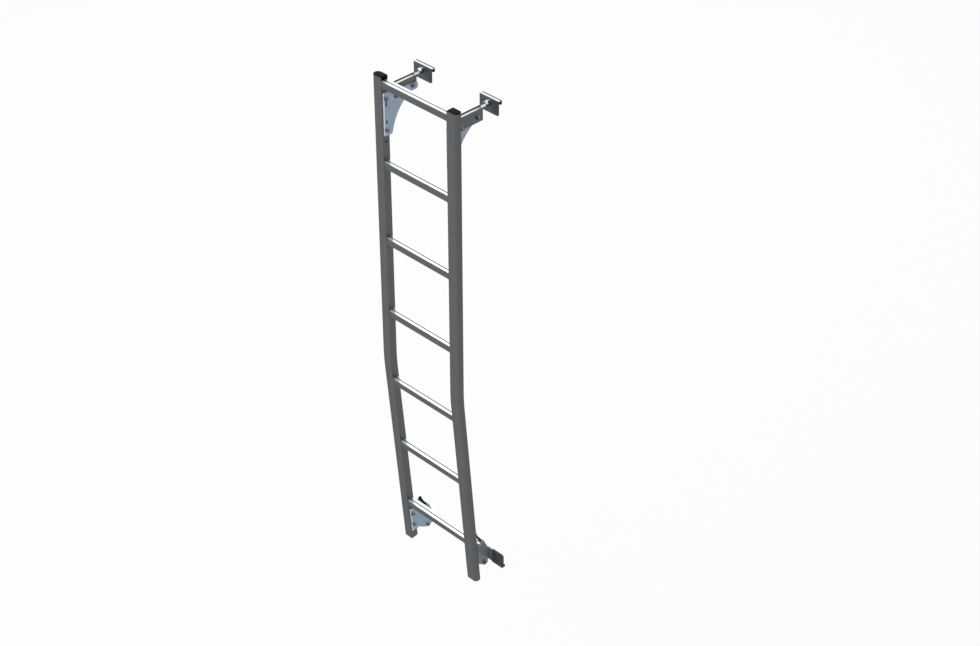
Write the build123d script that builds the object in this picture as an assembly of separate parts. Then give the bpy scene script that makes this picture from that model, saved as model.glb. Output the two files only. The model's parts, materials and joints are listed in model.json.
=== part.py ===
from build123d import *
import os
from math import cos, radians, sin, tan

# Van rear door ladder: two bent D-section stiles with box rungs between them, top arms with
# hook plates for the upper edge of a door, and bottom brackets with sliding tension claws.
# While modelling, X runs along the rungs to the climber's right, Y towards the door and Z up.
# Y is 0 on the front of the straight stiles, and Z is 0 on the tread of the top rung.
# All sizes are in millimetres and all angles in degrees.

# Ladder frame
INNER_WIDTH = 303.5
RUNG_COUNT = 7
RUNG_PITCH = 300
STILE_WIDTH = 45
STILE_DEPTH = 30
STILE_WALL = 2.5
STILE_ABOVE_TOP_RUNG = 13
STILE_BELOW_LAST_RUNG = 196.5
BEND_BELOW_TOP_RUNG = 1120
BEND_ANGLE = 5
BEND_RADIUS = 900
RUNG_DEPTH = 28
RUNG_HEIGHT = 25
RUNG_WALL = 2.5
RUNG_CORNER = 1.5
GROOVE_WIDTH = 3
GROOVE_DEPTH = 1
SPARE_HOLE_DROP = 228

# End caps
CAP_FLANGE = 2
FOOT_FLANGE = 2
PLUG_LENGTH = 20
PLUG_GAP = 0.2
TONGUE_WIDTH = 25

# Fasteners
BOLT_DIAMETER = 8
BOLT_HEAD_FLATS = 13
BOLT_HEAD_HEIGHT = 5.5
BOLT_NUT_HEIGHT = 6.5
BOLT_TAIL = 4
HOLE_GAP = 0.2
ROUND_SIDES = 12

# Top gusset plates
PLATE = 6
PLATE_SETBACK = 4
GUSSET_TOP = 42
GUSSET_HEIGHT = 162
GUSSET_FOOT_WIDTH = 34
GUSSET_TOP_DROP = 14
GUSSET_TIP_HEIGHT = 23
GUSSET_TIP_LENGTH = 38
GUSSET_TIP_SLOPE = 1.5
GUSSET_FOOT_SLOPE = 4
GUSSET_FOOT_HEIGHT = 14
GUSSET_ARC_RADIUS = 180
GUSSET_CORNER = 7
GUSSET_BOLT_DROPS = (23, 140)
GUSSET_SLOT = 27
SPARE_SLOT = 6
SPARE_SLOT_ABOVE_BOLT = 30
ARM_BOLT_DROPS = (30, 20)
ARM_BOLT_BEHIND_STILE = 30
ARM_BOLT_FROM_END = 23

# Top arms, rods and hooks
ARM_THICK = 5
ARM_BELOW_ROD = 52
ARM_END = 157
ROD_DIAMETER = 12
ROD_DROP = 28.5
ROD_GAP = 0.1
HOOK_FRONT = 187
HOOK_WIDTH = 86
HOOK_TOP_ABOVE_ROD = 18
HOOK_HEIGHT = 54
HOOK_SHEET = 2.5
HOOK_SLOT = 7
HOOK_LIP = 13
HOOK_CORNER = 8
HOOK_BEND = 2
EDGING_WALL = 1.2
EDGING_BACK_WALL = 3
NUT_FLATS = 19
NUT_HEIGHT = 10
LOCK_NUT_HEIGHT = 8
LOCK_NUT_TURN = 20
WASHER_DIAMETER = 24
WASHER_THICK = 2.5
MOUNT_BELOW_ROD = 18

# Bottom brackets, claws and tension screws
SLIDE_TILT = 30
TAB_BEHIND_LAST_RUNG = 72.2341
TAB_BELOW_LAST_RUNG = 67.1876
BRACKET_TOP_BELOW_LAST_RUNG = 46
BRACKET_HEIGHT = 112
BRACKET_FOOT_WIDTH = 34
BRACKET_BOLT_DROPS = (28, 82)
BRACKET_CORNER = 5
BRACKET_ARM_WIDTH = 48
BRACKET_ARM_END = 107
BRACKET_TOE_DROP = 80
SEAT_DROP = 21
SEAT_WIDTH = 16
SEAT_NECK = 20
CLAW_PLATE = 6
SLIDE_GAP = 0.3
CLAW_LEG_WIDTH = 38
CLAW_LEG_CORNER = 4
CLAW_FOOT_DROP = 72
CLAW_BEND = 5
TAB_WIDTH = 16
TAB_INWARD = 12
SCREW_DIAMETER = 8
SCREW_HEAD_DIAMETER = 13
SCREW_HEAD_HEIGHT = 8
SCREW_SOCKET_FLATS = 6
SCREW_SOCKET_DEPTH = 4
SCREW_ABOVE_TAB = 49
GUIDE_BOLT_BACK = -42
GUIDE_BOLT_DROP = 95
TRAVEL_UP = 10
TRAVEL_DOWN = 10
SLOT_GAP = 0.3
SLOT_RIM = 6
CLAW_FLANGE_BEHIND_TAB = 30.5
CLAW_FLANGE_BELOW_TAB = 45.4
CLAW_FLANGE_HEIGHT = 54
CLAW_FLANGE_WIDTH = 80
CLAW_LIP = 7
CLAW_CORNER = 8
BOOT_LENGTH = 52
BOOT_WALL = 1.5
BOOT_HOLE = 5
BOOT_HOLE_PITCH = 18
BOOT_HOLES_FROM_END = 28

# Places worked out from the sizes above
INNER_FACE = INNER_WIDTH / 2
STILE_MID = STILE_DEPTH / 2
LAST_RUNG = RUNG_PITCH * (RUNG_COUNT - 1)
STILE_END = LAST_RUNG + STILE_BELOW_LAST_RUNG
PLATE_FACE = INNER_FACE - PLATE
ROD_X = INNER_FACE + ARM_THICK / 2
HOOK_BACK = HOOK_FRONT + HOOK_SHEET
ORIGIN = Vector(ROD_X, HOOK_BACK, -ROD_DROP - MOUNT_BELOW_ROD)
CLAW_INNER = INNER_FACE + SLIDE_GAP
CLAW_OUTER = CLAW_INNER + CLAW_PLATE
SCREW_X = CLAW_INNER - SLIDE_GAP - SCREW_DIAMETER / 2
TAB_INNER = SCREW_X - TAB_INWARD
CLAW_FLANGE_END = CLAW_INNER + CLAW_FLANGE_WIDTH
GUIDE_POINT = (GUIDE_BOLT_BACK, -GUIDE_BOLT_DROP)


def along_stile(distance):
    """Place on the stiles' middle plane, at a distance below the top tread, Z along the stile."""
    start = Pos(0, STILE_MID, 0)
    if distance <= BEND_BELOW_TOP_RUNG:
        return start * Pos(0, 0, -distance)
    past_bend = distance - BEND_BELOW_TOP_RUNG
    return start * Pos(0, 0, -BEND_BELOW_TOP_RUNG) * Rot(X=BEND_ANGLE) * Pos(0, 0, -past_bend)


# Places of the claws, which follow the last rung
LAST_TREAD = along_stile(LAST_RUNG).position
TAB_Y = LAST_TREAD.Y + TAB_BEHIND_LAST_RUNG
TAB_Z = LAST_TREAD.Z - TAB_BELOW_LAST_RUNG
CLAW_FLANGE_Y = TAB_Y + CLAW_FLANGE_BEHIND_TAB
CLAW_FLANGE_TOP = TAB_Z - CLAW_FLANGE_BELOW_TAB
CLAW_FLANGE_LOW = CLAW_FLANGE_TOP - CLAW_FLANGE_HEIGHT


def side_plane(x):
    """Plane facing +X at x, whose own axes are Y towards the door and Z up."""
    return Plane(origin=(x, 0, 0), x_dir=(0, 1, 0), z_dir=(1, 0, 0))


def slide_plane(x):
    """Plane facing +X at x, on the screw's axis at the claw's tab, its own Y up along the slide."""
    tilt = radians(SLIDE_TILT)
    return Plane(origin=(x, TAB_Y, TAB_Z), x_dir=(0, cos(tilt), sin(tilt)), z_dir=(1, 0, 0))


def in_slide(point):
    """Turn a Y, Z point into the slide plane's own coordinates."""
    local = slide_plane(0).to_local_coords(Vector(0, *point))
    return (local.X, local.Y)


def in_side(place):
    """Y, Z point of a place."""
    return (place.position.Y, place.position.Z)


def d_section(inset):
    """Outline of the right stile about its middle: flat inner side, half-round outer side."""
    radius = STILE_DEPTH / 2 - inset
    flat = STILE_WIDTH - STILE_DEPTH / 2
    box = Pos(INNER_FACE + (inset + flat) / 2, 0) * Rectangle(flat - inset, 2 * radius)
    return box + Pos(INNER_FACE + flat, 0) * Circle(radius)


def plug_section():
    """Rectangle that fills the flat part of the right stile's bore."""
    inset = STILE_WALL + PLUG_GAP
    length = STILE_WIDTH - STILE_DEPTH / 2 - inset
    return Pos(INNER_FACE + inset + length / 2, 0) * Rectangle(length, STILE_DEPTH - 2 * inset)


def hexagon_prism(flats, height):
    """Hexagonal prism standing on Z = 0."""
    return extrude(RegularPolygon(flats / 2, 6, major_radius=False), height)


def bolt_set(plane, points, grip, with_nut=False):
    """Hex bolts whose heads sit on a plane, on the side away from its normal, with light many-sided shanks."""
    bolt = Pos(0, 0, -BOLT_HEAD_HEIGHT) * hexagon_prism(BOLT_HEAD_FLATS, BOLT_HEAD_HEIGHT)
    nut_height = BOLT_NUT_HEIGHT if with_nut else 0
    bolt += extrude(RegularPolygon(BOLT_DIAMETER / 2, ROUND_SIDES), grip + nut_height + BOLT_TAIL)
    if with_nut:
        bolt += Pos(0, 0, grip) * hexagon_prism(BOLT_HEAD_FLATS, BOLT_NUT_HEIGHT)
    return [plane * Pos(*point, 0) * bolt for point in points]


def bolt_holes(plane, points, depth):
    """Cutters for the many-sided holes under bolt heads, through a depth along the plane's normal."""
    section = RegularPolygon(BOLT_DIAMETER / 2 + HOLE_GAP, ROUND_SIDES, major_radius=False)
    return [plane * Pos(*point, 0) * extrude(section, depth) for point in points]


def gusset_stile_points():
    """Places of the gusset's two bolts on the stile, as Y, Z points."""
    return [(STILE_MID, -GUSSET_TOP - drop) for drop in GUSSET_BOLT_DROPS]


def gusset_arm_points():
    """Places of the gusset's two bolts on the arm, as Y, Z points."""
    depths = (STILE_DEPTH + ARM_BOLT_BEHIND_STILE, ARM_END - ARM_BOLT_FROM_END)
    return [(depth, -GUSSET_TOP - drop) for depth, drop in zip(depths, ARM_BOLT_DROPS)]


def bracket_bolt_points():
    """Places of the bottom bracket's two bolts on the stile, as Y, Z points."""
    top = LAST_RUNG + BRACKET_TOP_BELOW_LAST_RUNG
    return [in_side(along_stile(top + drop)) for drop in BRACKET_BOLT_DROPS]


def make_stile():
    """Right stile: a D-section tube bent once, with a notch for the cap's tongue and bolt holes."""
    tangent = BEND_RADIUS * tan(radians(BEND_ANGLE / 2))
    top = along_stile(-STILE_ABOVE_TOP_RUNG).position
    bend_start = along_stile(BEND_BELOW_TOP_RUNG - tangent).position
    bend_end = along_stile(BEND_BELOW_TOP_RUNG + tangent).position
    end = along_stile(STILE_END).position
    upper = Line(top, bend_start)
    bend = TangentArc(bend_start, bend_end, tangent=(0, 0, -1))
    lower = Line(bend_end, end)
    path = Wire([upper.edge(), bend.edge(), lower.edge()])
    start = Plane(origin=top, x_dir=(1, 0, 0), z_dir=(0, 0, 1))
    section = d_section(0) - d_section(STILE_WALL)
    tube = sweep(start * section, path=path)
    notch = Box(STILE_WALL, TONGUE_WIDTH, STILE_ABOVE_TOP_RUNG,
                align=(Align.MIN, Align.CENTER, Align.MAX))
    tube -= Pos(INNER_FACE, STILE_MID, STILE_ABOVE_TOP_RUNG) * notch
    inner_side = side_plane(INNER_FACE)
    for hole in bolt_holes(inner_side, gusset_stile_points() + bracket_bolt_points(), STILE_WALL):
        tube -= hole
    spare_hole = Pos(STILE_MID, -SPARE_HOLE_DROP) * Circle(BOLT_DIAMETER / 2 + HOLE_GAP)
    return tube - extrude(inner_side * spare_hole, STILE_WALL)


def make_rung(number):
    """Box-section rung with one groove along its tread, butted between the stiles."""
    middle = Pos(0, -RUNG_HEIGHT / 2)
    outer = middle * RectangleRounded(RUNG_DEPTH, RUNG_HEIGHT, RUNG_CORNER)
    hollow = middle * Rectangle(RUNG_DEPTH - 2 * RUNG_WALL, RUNG_HEIGHT - 2 * RUNG_WALL)
    groove = Pos(0, -GROOVE_DEPTH / 2) * Rectangle(GROOVE_WIDTH, GROOVE_DEPTH)
    profile = side_plane(-INNER_FACE) * (outer - hollow - groove)
    return along_stile(number * RUNG_PITCH) * extrude(profile, INNER_WIDTH)


def make_top_cap():
    """Plug in the top of the right stile, with a D-shaped flange and a tongue in the stile's notch."""
    flange = extrude(d_section(0), CAP_FLANGE)
    plug = extrude(plug_section(), -PLUG_LENGTH)
    tongue = Box(STILE_WALL + 2 * PLUG_GAP, TONGUE_WIDTH - 2 * PLUG_GAP, STILE_ABOVE_TOP_RUNG - PLUG_GAP,
                 align=(Align.MIN, Align.CENTER, Align.MAX))
    return along_stile(-STILE_ABOVE_TOP_RUNG) * (flange + plug + Pos(INNER_FACE, 0, 0) * tongue)


def make_foot_cap():
    """Plug in the bottom of the right stile, with a thin D-shaped flange."""
    flange = extrude(d_section(0), -FOOT_FLANGE)
    plug = extrude(plug_section(), PLUG_LENGTH)
    return along_stile(STILE_END) * (flange + plug)


def make_gusset():
    """Top gusset plate on the inner side of stile and arm, slotted for the stile's bolts."""
    front = PLATE_SETBACK
    top = -GUSSET_TOP
    bottom = top - GUSSET_HEIGHT
    foot_back = front + GUSSET_FOOT_WIDTH
    tip_top = top - GUSSET_TOP_DROP
    tip_low = tip_top - GUSSET_TIP_HEIGHT
    curve_start = (foot_back + GUSSET_FOOT_SLOPE, bottom + GUSSET_FOOT_HEIGHT)
    curve_end = (ARM_END - GUSSET_TIP_LENGTH, tip_low - GUSSET_TIP_SLOPE)
    rim = FilletPolyline(curve_end, (ARM_END, tip_low), (ARM_END, tip_top), (front, top),
                         (front, bottom), (foot_back, bottom), curve_start, radius=GUSSET_CORNER)
    hollow_curve = RadiusArc(curve_start, curve_end, GUSSET_ARC_RADIUS)
    outline = make_face(Curve() + rim + hollow_curve)
    upper, lower = gusset_stile_points()
    slot_width = BOLT_DIAMETER + 2 * HOLE_GAP
    bolt_slot = Rot(Z=90) * SlotCenterToCenter(GUSSET_SLOT, slot_width)
    spare_slot = Rot(Z=90) * SlotCenterToCenter(SPARE_SLOT, slot_width)
    outline -= Pos(upper[0], upper[1] - GUSSET_SLOT / 2) * bolt_slot
    outline -= Pos(lower[0], lower[1] + SPARE_SLOT_ABOVE_BOLT) * spare_slot
    plate = extrude(side_plane(PLATE_FACE) * outline, PLATE)
    for hole in bolt_holes(side_plane(PLATE_FACE), [lower] + gusset_arm_points(), PLATE):
        plate -= hole
    return plate


def make_gusset_bolts():
    """Two bolts into the stile and two with nuts through the arm."""
    plane = side_plane(PLATE_FACE)
    on_stile = bolt_set(plane, gusset_stile_points(), PLATE + STILE_WALL)
    return on_stile + bolt_set(plane, gusset_arm_points(), PLATE + ARM_THICK, with_nut=True)


def make_arm():
    """Flat bar behind the stile, its top edge hollowed to seat the rod."""
    bar = Pos(INNER_FACE, STILE_DEPTH, -ROD_DROP) * Box(
        ARM_THICK, ARM_END - STILE_DEPTH, ARM_BELOW_ROD, align=(Align.MIN, Align.MIN, Align.MAX))
    bar -= rod_cylinder(ROD_DIAMETER + 2 * ROD_GAP)
    for hole in bolt_holes(side_plane(INNER_FACE), gusset_arm_points(), ARM_THICK):
        bar -= hole
    return bar


def rod_cylinder(diameter):
    """Cylinder on the rod's axis, from the back of the stile to the back of the hook plate."""
    circle = Plane(origin=(ROD_X, STILE_DEPTH, -ROD_DROP), z_dir=(0, 1, 0)) * Circle(diameter / 2)
    return extrude(circle, HOOK_BACK - STILE_DEPTH)


def make_rod():
    """Round bar along the top of the arm, threaded where it holds the hook."""
    return rod_cylinder(ROD_DIAMETER)


def make_hook():
    """Sheet hook: a plate on the rod, bent back over the door's edge and down behind it."""
    top = -ROD_DROP + HOOK_TOP_ABOVE_ROD
    low = top - HOOK_HEIGHT
    lip_front = HOOK_BACK + HOOK_SLOT
    lip_back = lip_front + HOOK_SHEET
    lip_low = top - HOOK_LIP
    under = top - HOOK_SHEET
    section = make_face(Polyline(
        (HOOK_FRONT, low), (HOOK_FRONT, top), (lip_back, top), (lip_back, lip_low), (lip_front, lip_low),
        (lip_front, under), (HOOK_BACK, under), (HOOK_BACK, low), close=True))
    section = fillet(section.vertices().group_by(Axis.Y)[-1], HOOK_BEND)
    hook = extrude(side_plane(ROD_X - HOOK_WIDTH / 2) * section, HOOK_WIDTH)
    hook = fillet(hook.edges().filter_by(Axis.Y).group_by(Axis.Z)[0], HOOK_CORNER)
    return hook - rod_cylinder(ROD_DIAMETER + 2 * ROD_GAP)


def make_hook_edging():
    """Rubber channel pushed over the hook's lip, its thick back wall level with the hook's top."""
    top = -ROD_DROP + HOOK_TOP_ABOVE_ROD
    under = top - HOOK_SHEET
    lip_front = HOOK_BACK + HOOK_SLOT
    lip_back = lip_front + HOOK_SHEET
    lip_low = top - HOOK_LIP
    front = lip_front - EDGING_WALL
    back = lip_back + EDGING_BACK_WALL
    low = lip_low - EDGING_WALL
    section = make_face(Polyline(
        (front, under), (front, low), (back, low), (back, top), (lip_back, top), (lip_back, lip_low),
        (lip_front, lip_low), (lip_front, under), close=True))
    return extrude(side_plane(ROD_X - HOOK_WIDTH / 2) * section, HOOK_WIDTH)


def make_hook_nut():
    """Hex nut with its washer and a lock nut on the rod, against the front of the hook plate."""
    plane = Plane(origin=(ROD_X, HOOK_FRONT, -ROD_DROP), x_dir=(1, 0, 0), z_dir=(0, -1, 0))
    seam = WASHER_THICK + NUT_HEIGHT
    washer = extrude(Circle(WASHER_DIAMETER / 2), WASHER_THICK)
    nut = Pos(0, 0, WASHER_THICK) * hexagon_prism(NUT_FLATS, NUT_HEIGHT)
    lock_nut = Pos(0, 0, seam) * Rot(Z=LOCK_NUT_TURN) * hexagon_prism(NUT_FLATS, LOCK_NUT_HEIGHT)
    bore = extrude(Circle(ROD_DIAMETER / 2 + ROD_GAP), seam + LOCK_NUT_HEIGHT)
    return plane * (washer + nut + lock_nut - bore)


def make_bracket():
    """Bottom bracket: a foot on the stile, an arm along the slide and a seat for the screw's tip."""
    top = LAST_RUNG + BRACKET_TOP_BELOW_LAST_RUNG
    front = PLATE_SETBACK - STILE_MID
    back = front + BRACKET_FOOT_WIDTH
    foot_top = along_stile(top)
    foot_low = along_stile(top + BRACKET_HEIGHT)
    foot = [in_side(place * Pos(0, offset, 0)) for place, offset in (
        (foot_top, back), (foot_top, front), (foot_low, front), (foot_low, back))]
    slide = Pos(TAB_Y, TAB_Z) * Rot(Z=SLIDE_TILT)
    arm_front = GUIDE_BOLT_BACK - BRACKET_ARM_WIDTH / 2
    arm_back = GUIDE_BOLT_BACK + BRACKET_ARM_WIDTH / 2
    seat_back = SEAT_WIDTH / 2
    arm = [(arm_front, -BRACKET_TOE_DROP), (GUIDE_BOLT_BACK - SLOT_RIM, -BRACKET_ARM_END),
           (arm_back, -BRACKET_ARM_END), (seat_back, -SEAT_DROP - SEAT_NECK),
           (seat_back, -SEAT_DROP), (-seat_back, -SEAT_DROP)]
    placed_arm = [(place.position.X, place.position.Y) for place in (slide * Pos(*point) for point in arm)]
    outline = make_face(Polyline(*foot, *placed_arm, close=True))
    low_corners = outline.vertices().group_by(Axis.X)[0] + outline.vertices().group_by(Axis.Y)[0]
    outline = fillet(low_corners, BRACKET_CORNER)
    plate = extrude(side_plane(PLATE_FACE) * outline, PLATE)
    for hole in bolt_holes(side_plane(PLATE_FACE), bracket_bolt_points(), PLATE):
        plate -= hole
    for hole in bolt_holes(slide_plane(PLATE_FACE), [GUIDE_POINT], PLATE):
        plate -= hole
    return plate


def make_bracket_bolts():
    """Two bolts into the stile and the guide bolt with its nut, through the claw's slot."""
    bolts = bolt_set(side_plane(PLATE_FACE), bracket_bolt_points(), PLATE + STILE_WALL)
    grip = PLATE + CLAW_PLATE + 2 * SLIDE_GAP
    return bolts + bolt_set(slide_plane(PLATE_FACE), [GUIDE_POINT], grip, with_nut=True)


def make_claw():
    """Sliding claw: a slotted leg beside the bracket, a threaded tab and a bent flange with a lip."""
    back = TAB_WIDTH / 2
    front = back - CLAW_LEG_WIDTH
    bend_top = in_slide((CLAW_FLANGE_Y, CLAW_FLANGE_TOP))
    bend_low = in_slide((CLAW_FLANGE_Y, CLAW_FLANGE_LOW))
    rim = BOLT_DIAMETER / 2 + SLOT_RIM
    leg_low = -GUIDE_BOLT_DROP - TRAVEL_UP - rim
    foot_front = GUIDE_BOLT_BACK - BRACKET_ARM_WIDTH / 2
    outline = make_face(Polyline(
        (front, -CLAW_PLATE), (back, -CLAW_PLATE), bend_top, bend_low, (GUIDE_BOLT_BACK + rim, leg_low),
        (GUIDE_BOLT_BACK - SLOT_RIM, leg_low), (foot_front, -CLAW_FOOT_DROP), close=True))
    outline = fillet(outline.vertices().group_by(Axis.Y)[0], CLAW_LEG_CORNER)
    slot = Rot(Z=90) * SlotCenterToCenter(TRAVEL_UP + TRAVEL_DOWN, BOLT_DIAMETER + 2 * SLOT_GAP)
    outline -= Pos(GUIDE_BOLT_BACK, -GUIDE_BOLT_DROP + (TRAVEL_DOWN - TRAVEL_UP) / 2) * slot
    leg = extrude(slide_plane(CLAW_INNER) * outline, CLAW_PLATE)
    tab = Box(TAB_WIDTH, CLAW_PLATE, CLAW_OUTER - TAB_INNER, align=(Align.CENTER, Align.MAX, Align.MIN))
    tab = fillet(tab.edges().filter_by(Axis.X).group_by(Axis.Z)[-1].sort_by(Axis.Y)[-1], CLAW_BEND)
    tab = slide_plane(TAB_INNER) * tab
    tab -= screw_cylinder(SCREW_DIAMETER + 2 * HOLE_GAP, SCREW_ABOVE_TAB, 2 * CLAW_PLATE)
    flange = Pos(CLAW_INNER, CLAW_FLANGE_Y, CLAW_FLANGE_TOP) * Box(
        CLAW_FLANGE_WIDTH, CLAW_PLATE, CLAW_FLANGE_HEIGHT, align=(Align.MIN, Align.MIN, Align.MAX))
    flange = fillet(flange.edges().filter_by(Axis.Z).group_by(Axis.Y)[-1].sort_by(Axis.X)[0], CLAW_BEND)
    flange = round_claw_corner(flange, CLAW_CORNER)
    lip = Pos(CLAW_FLANGE_END, CLAW_FLANGE_Y, CLAW_FLANGE_LOW) * Box(
        BOOT_LENGTH, CLAW_PLATE + CLAW_LIP, CLAW_PLATE, align=(Align.MAX, Align.MIN, Align.MIN))
    return leg + tab + flange + lip


def round_claw_corner(solid, radius):
    """Round the upper outer corner of the claw's flange or of its boot."""
    return fillet(solid.edges().filter_by(Axis.Y).group_by(Axis.Z)[-1].sort_by(Axis.X)[-1], radius)


def claw_end(margin):
    """The claw's outer end, flange and lip, grown by a margin on all sides but its inner one."""
    start = CLAW_FLANGE_END - BOOT_LENGTH
    length = BOOT_LENGTH + margin
    thick = CLAW_PLATE + 2 * margin
    align = (Align.MIN, Align.MIN, Align.MIN)
    place = Pos(start, CLAW_FLANGE_Y - margin, CLAW_FLANGE_LOW - margin)
    flange = place * Box(length, thick, CLAW_FLANGE_HEIGHT + 2 * margin, align=align)
    lip = place * Box(length, thick + CLAW_LIP, thick, align=align)
    return round_claw_corner(flange, CLAW_CORNER + margin) + lip


def make_claw_boot():
    """Rubber boot over the outer end of the claw's flange and lip, with four holes in its front."""
    boot = claw_end(BOOT_WALL) - claw_end(0)
    middle = (CLAW_FLANGE_END - BOOT_HOLES_FROM_END, CLAW_FLANGE_Y, (CLAW_FLANGE_TOP + CLAW_FLANGE_LOW) / 2)
    front = Plane(origin=middle, x_dir=(1, 0, 0), z_dir=(0, -1, 0))
    hole = extrude(RegularPolygon(BOOT_HOLE / 2, ROUND_SIDES), BOOT_WALL)
    for place in GridLocations(BOOT_HOLE_PITCH, BOOT_HOLE_PITCH, 2, 2):
        boot -= front * place * hole
    return boot


def screw_cylinder(diameter, above, below):
    """Cylinder on the tension screw's axis, from above the tab's top to below it."""
    return screw_plane(-below) * extrude(Circle(diameter / 2), above + below)


def screw_plane(height):
    """Plane across the tension screw's axis, at a height above the tab's top."""
    tilt = radians(SLIDE_TILT)
    up = Vector(0, -sin(tilt), cos(tilt))
    return Plane(origin=Vector(SCREW_X, TAB_Y, TAB_Z) + up * height, x_dir=(1, 0, 0), z_dir=up)


def make_tension_screw():
    """Socket cap screw through the claw's tab, its tip on the bracket's seat."""
    top = SCREW_ABOVE_TAB + SCREW_HEAD_HEIGHT
    shank = screw_cylinder(SCREW_DIAMETER, SCREW_ABOVE_TAB, SEAT_DROP)
    head = screw_cylinder(SCREW_HEAD_DIAMETER, top, -SCREW_ABOVE_TAB)
    socket = screw_plane(top - SCREW_SOCKET_DEPTH) * hexagon_prism(SCREW_SOCKET_FLATS, SCREW_SOCKET_DEPTH)
    return shank + head - socket


def save(name, solids):
    """Write one node, moved so that the origin lies on the back of the right hook plate."""
    moved = [Pos(*(-ORIGIN)) * solid for solid in solids]
    export_step(moved[0] if len(moved) == 1 else Compound(children=moved), f"parts/{name}.step")


def save_pair(name, shape):
    """Write a right-hand piece and its mirror image on the left."""
    solids = shape if isinstance(shape, list) else [shape]
    save(f"right_{name}", solids)
    save(f"left_{name}", [mirror(solid, about=Plane.YZ) for solid in solids])


os.makedirs("parts", exist_ok=True)
for number in range(RUNG_COUNT):
    save(f"rung_{number + 1}", [make_rung(number)])
save_pair("stile", make_stile())
save_pair("top_cap", make_top_cap())
save_pair("foot_cap", make_foot_cap())
save_pair("gusset", make_gusset())
save_pair("gusset_bolts", make_gusset_bolts())
save_pair("top_arm", make_arm())
save_pair("hook_rod", make_rod())
save_pair("hook", make_hook())
save_pair("hook_edging", make_hook_edging())
save_pair("hook_nut", make_hook_nut())
save_pair("bracket", make_bracket())
save_pair("bracket_bolts", make_bracket_bolts())
save_pair("claw", make_claw())
save_pair("claw_boot", make_claw_boot())
save_pair("tension_screw", make_tension_screw())
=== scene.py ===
import json
import math

import bmesh
import bpy
import numpy as np
from bpy.props import FloatProperty, FloatVectorProperty, IntProperty, PointerProperty
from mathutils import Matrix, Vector


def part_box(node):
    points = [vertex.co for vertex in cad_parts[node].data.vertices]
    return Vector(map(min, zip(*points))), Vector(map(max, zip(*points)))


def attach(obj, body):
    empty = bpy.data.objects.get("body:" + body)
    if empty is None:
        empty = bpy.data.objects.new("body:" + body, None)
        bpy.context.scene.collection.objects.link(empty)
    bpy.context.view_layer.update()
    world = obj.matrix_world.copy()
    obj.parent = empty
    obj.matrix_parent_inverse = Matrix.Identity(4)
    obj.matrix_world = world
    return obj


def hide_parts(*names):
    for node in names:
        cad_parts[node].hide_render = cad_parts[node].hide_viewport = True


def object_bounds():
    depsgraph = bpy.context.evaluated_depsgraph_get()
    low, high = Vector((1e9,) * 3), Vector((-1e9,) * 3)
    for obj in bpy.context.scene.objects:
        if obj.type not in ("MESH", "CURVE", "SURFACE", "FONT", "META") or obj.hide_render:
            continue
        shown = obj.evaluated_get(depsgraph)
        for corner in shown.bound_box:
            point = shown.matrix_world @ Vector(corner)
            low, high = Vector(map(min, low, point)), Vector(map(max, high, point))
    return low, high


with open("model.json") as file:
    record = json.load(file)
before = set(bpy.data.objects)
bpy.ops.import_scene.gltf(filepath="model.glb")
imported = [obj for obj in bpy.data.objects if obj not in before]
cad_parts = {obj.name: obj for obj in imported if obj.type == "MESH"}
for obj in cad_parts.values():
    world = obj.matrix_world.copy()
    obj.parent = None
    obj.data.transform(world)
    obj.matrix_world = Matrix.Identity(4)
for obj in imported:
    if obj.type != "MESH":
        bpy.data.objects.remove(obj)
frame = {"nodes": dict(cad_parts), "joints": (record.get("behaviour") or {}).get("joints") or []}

bl_info = {
    "name": "Van Rear Door Ladder",
    "version": (1, 0, 0),
    "blender": (4, 5, 0),
    "location": "View3D > Sidebar > Ladder",
    "description": "Dresses the ladder with welds, fasteners, threads, caps and metal finishes",
    "category": "Object",
}

# Names and places of the ladder's pieces
CAD_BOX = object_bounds()
SIDES = ("left", "right")
INWARD = {"left": 1.0, "right": -1.0}
RUNGS = sorted(name for name in frame["nodes"] if name.startswith("rung_"))
LADDER = "ladder"

# A full turn, a hexagon's side as an angle, and its width over flats for a corner's radius of 1
TURN = 2 * math.pi
HEX_SIDE = TURN / 6
FLATS_OF_CORNER = math.sqrt(3)

# Lengths below which two places are the same, and the cosine over which two directions nearly are
SAME = 1e-5
MERGED = 1e-6
NEARLY_ALONG = 0.9

# Part of a face's normal along one axis at which a mask starts, and at which it is full; the masks lay
# painted highlights, painted shade and a painted reflection
LOOKS_UP = (0.90, 0.97)
LOOKS_NOT_DOWN = (-0.6, -0.4)
LOOKS_ASIDE = (0.35, 0.65)
TOP_OF_TAB = (0.5, 0.7)
TOP_OF_HEX = (0.55, 0.80)
TOP_OF_ROD = (0.55, 0.72)

# Places at which a mask starts and is full: out from a tread's middle, for the painted shade along its
# grooves, and back from a gusset's front, for its painted highlight strip
GROOVE_SIDES = (0.0020, 0.0036)
HIGHLIGHT_STRIP = (0.0016, 0.0032)

# Claw: the flange's start before its boot, the lengths over which the painted highlight and the painted shade
# in the boot fade in, and the share taken off the tab's painted highlight
FLANGE_BEFORE_BOOT = 0.010
FLANGE_BLEND = 0.002
BOOT_BLEND = 0.0004
TAB_HIGHLIGHT_CUT = 0.65

# Reflection of the metals, their tint at a glancing angle, and how far die lines are drawn out
METAL_LEVEL = 0.15
DRAWN_GLANCE = (0.30, 0.30, 0.30)
PLATE_GLANCE = (0.40, 0.40, 0.40)
BAR_GLANCE = (0.25, 0.30, 0.32)
DIE_LINE_STRETCH = 0.012
BAND_SHARE = 0.55

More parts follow.
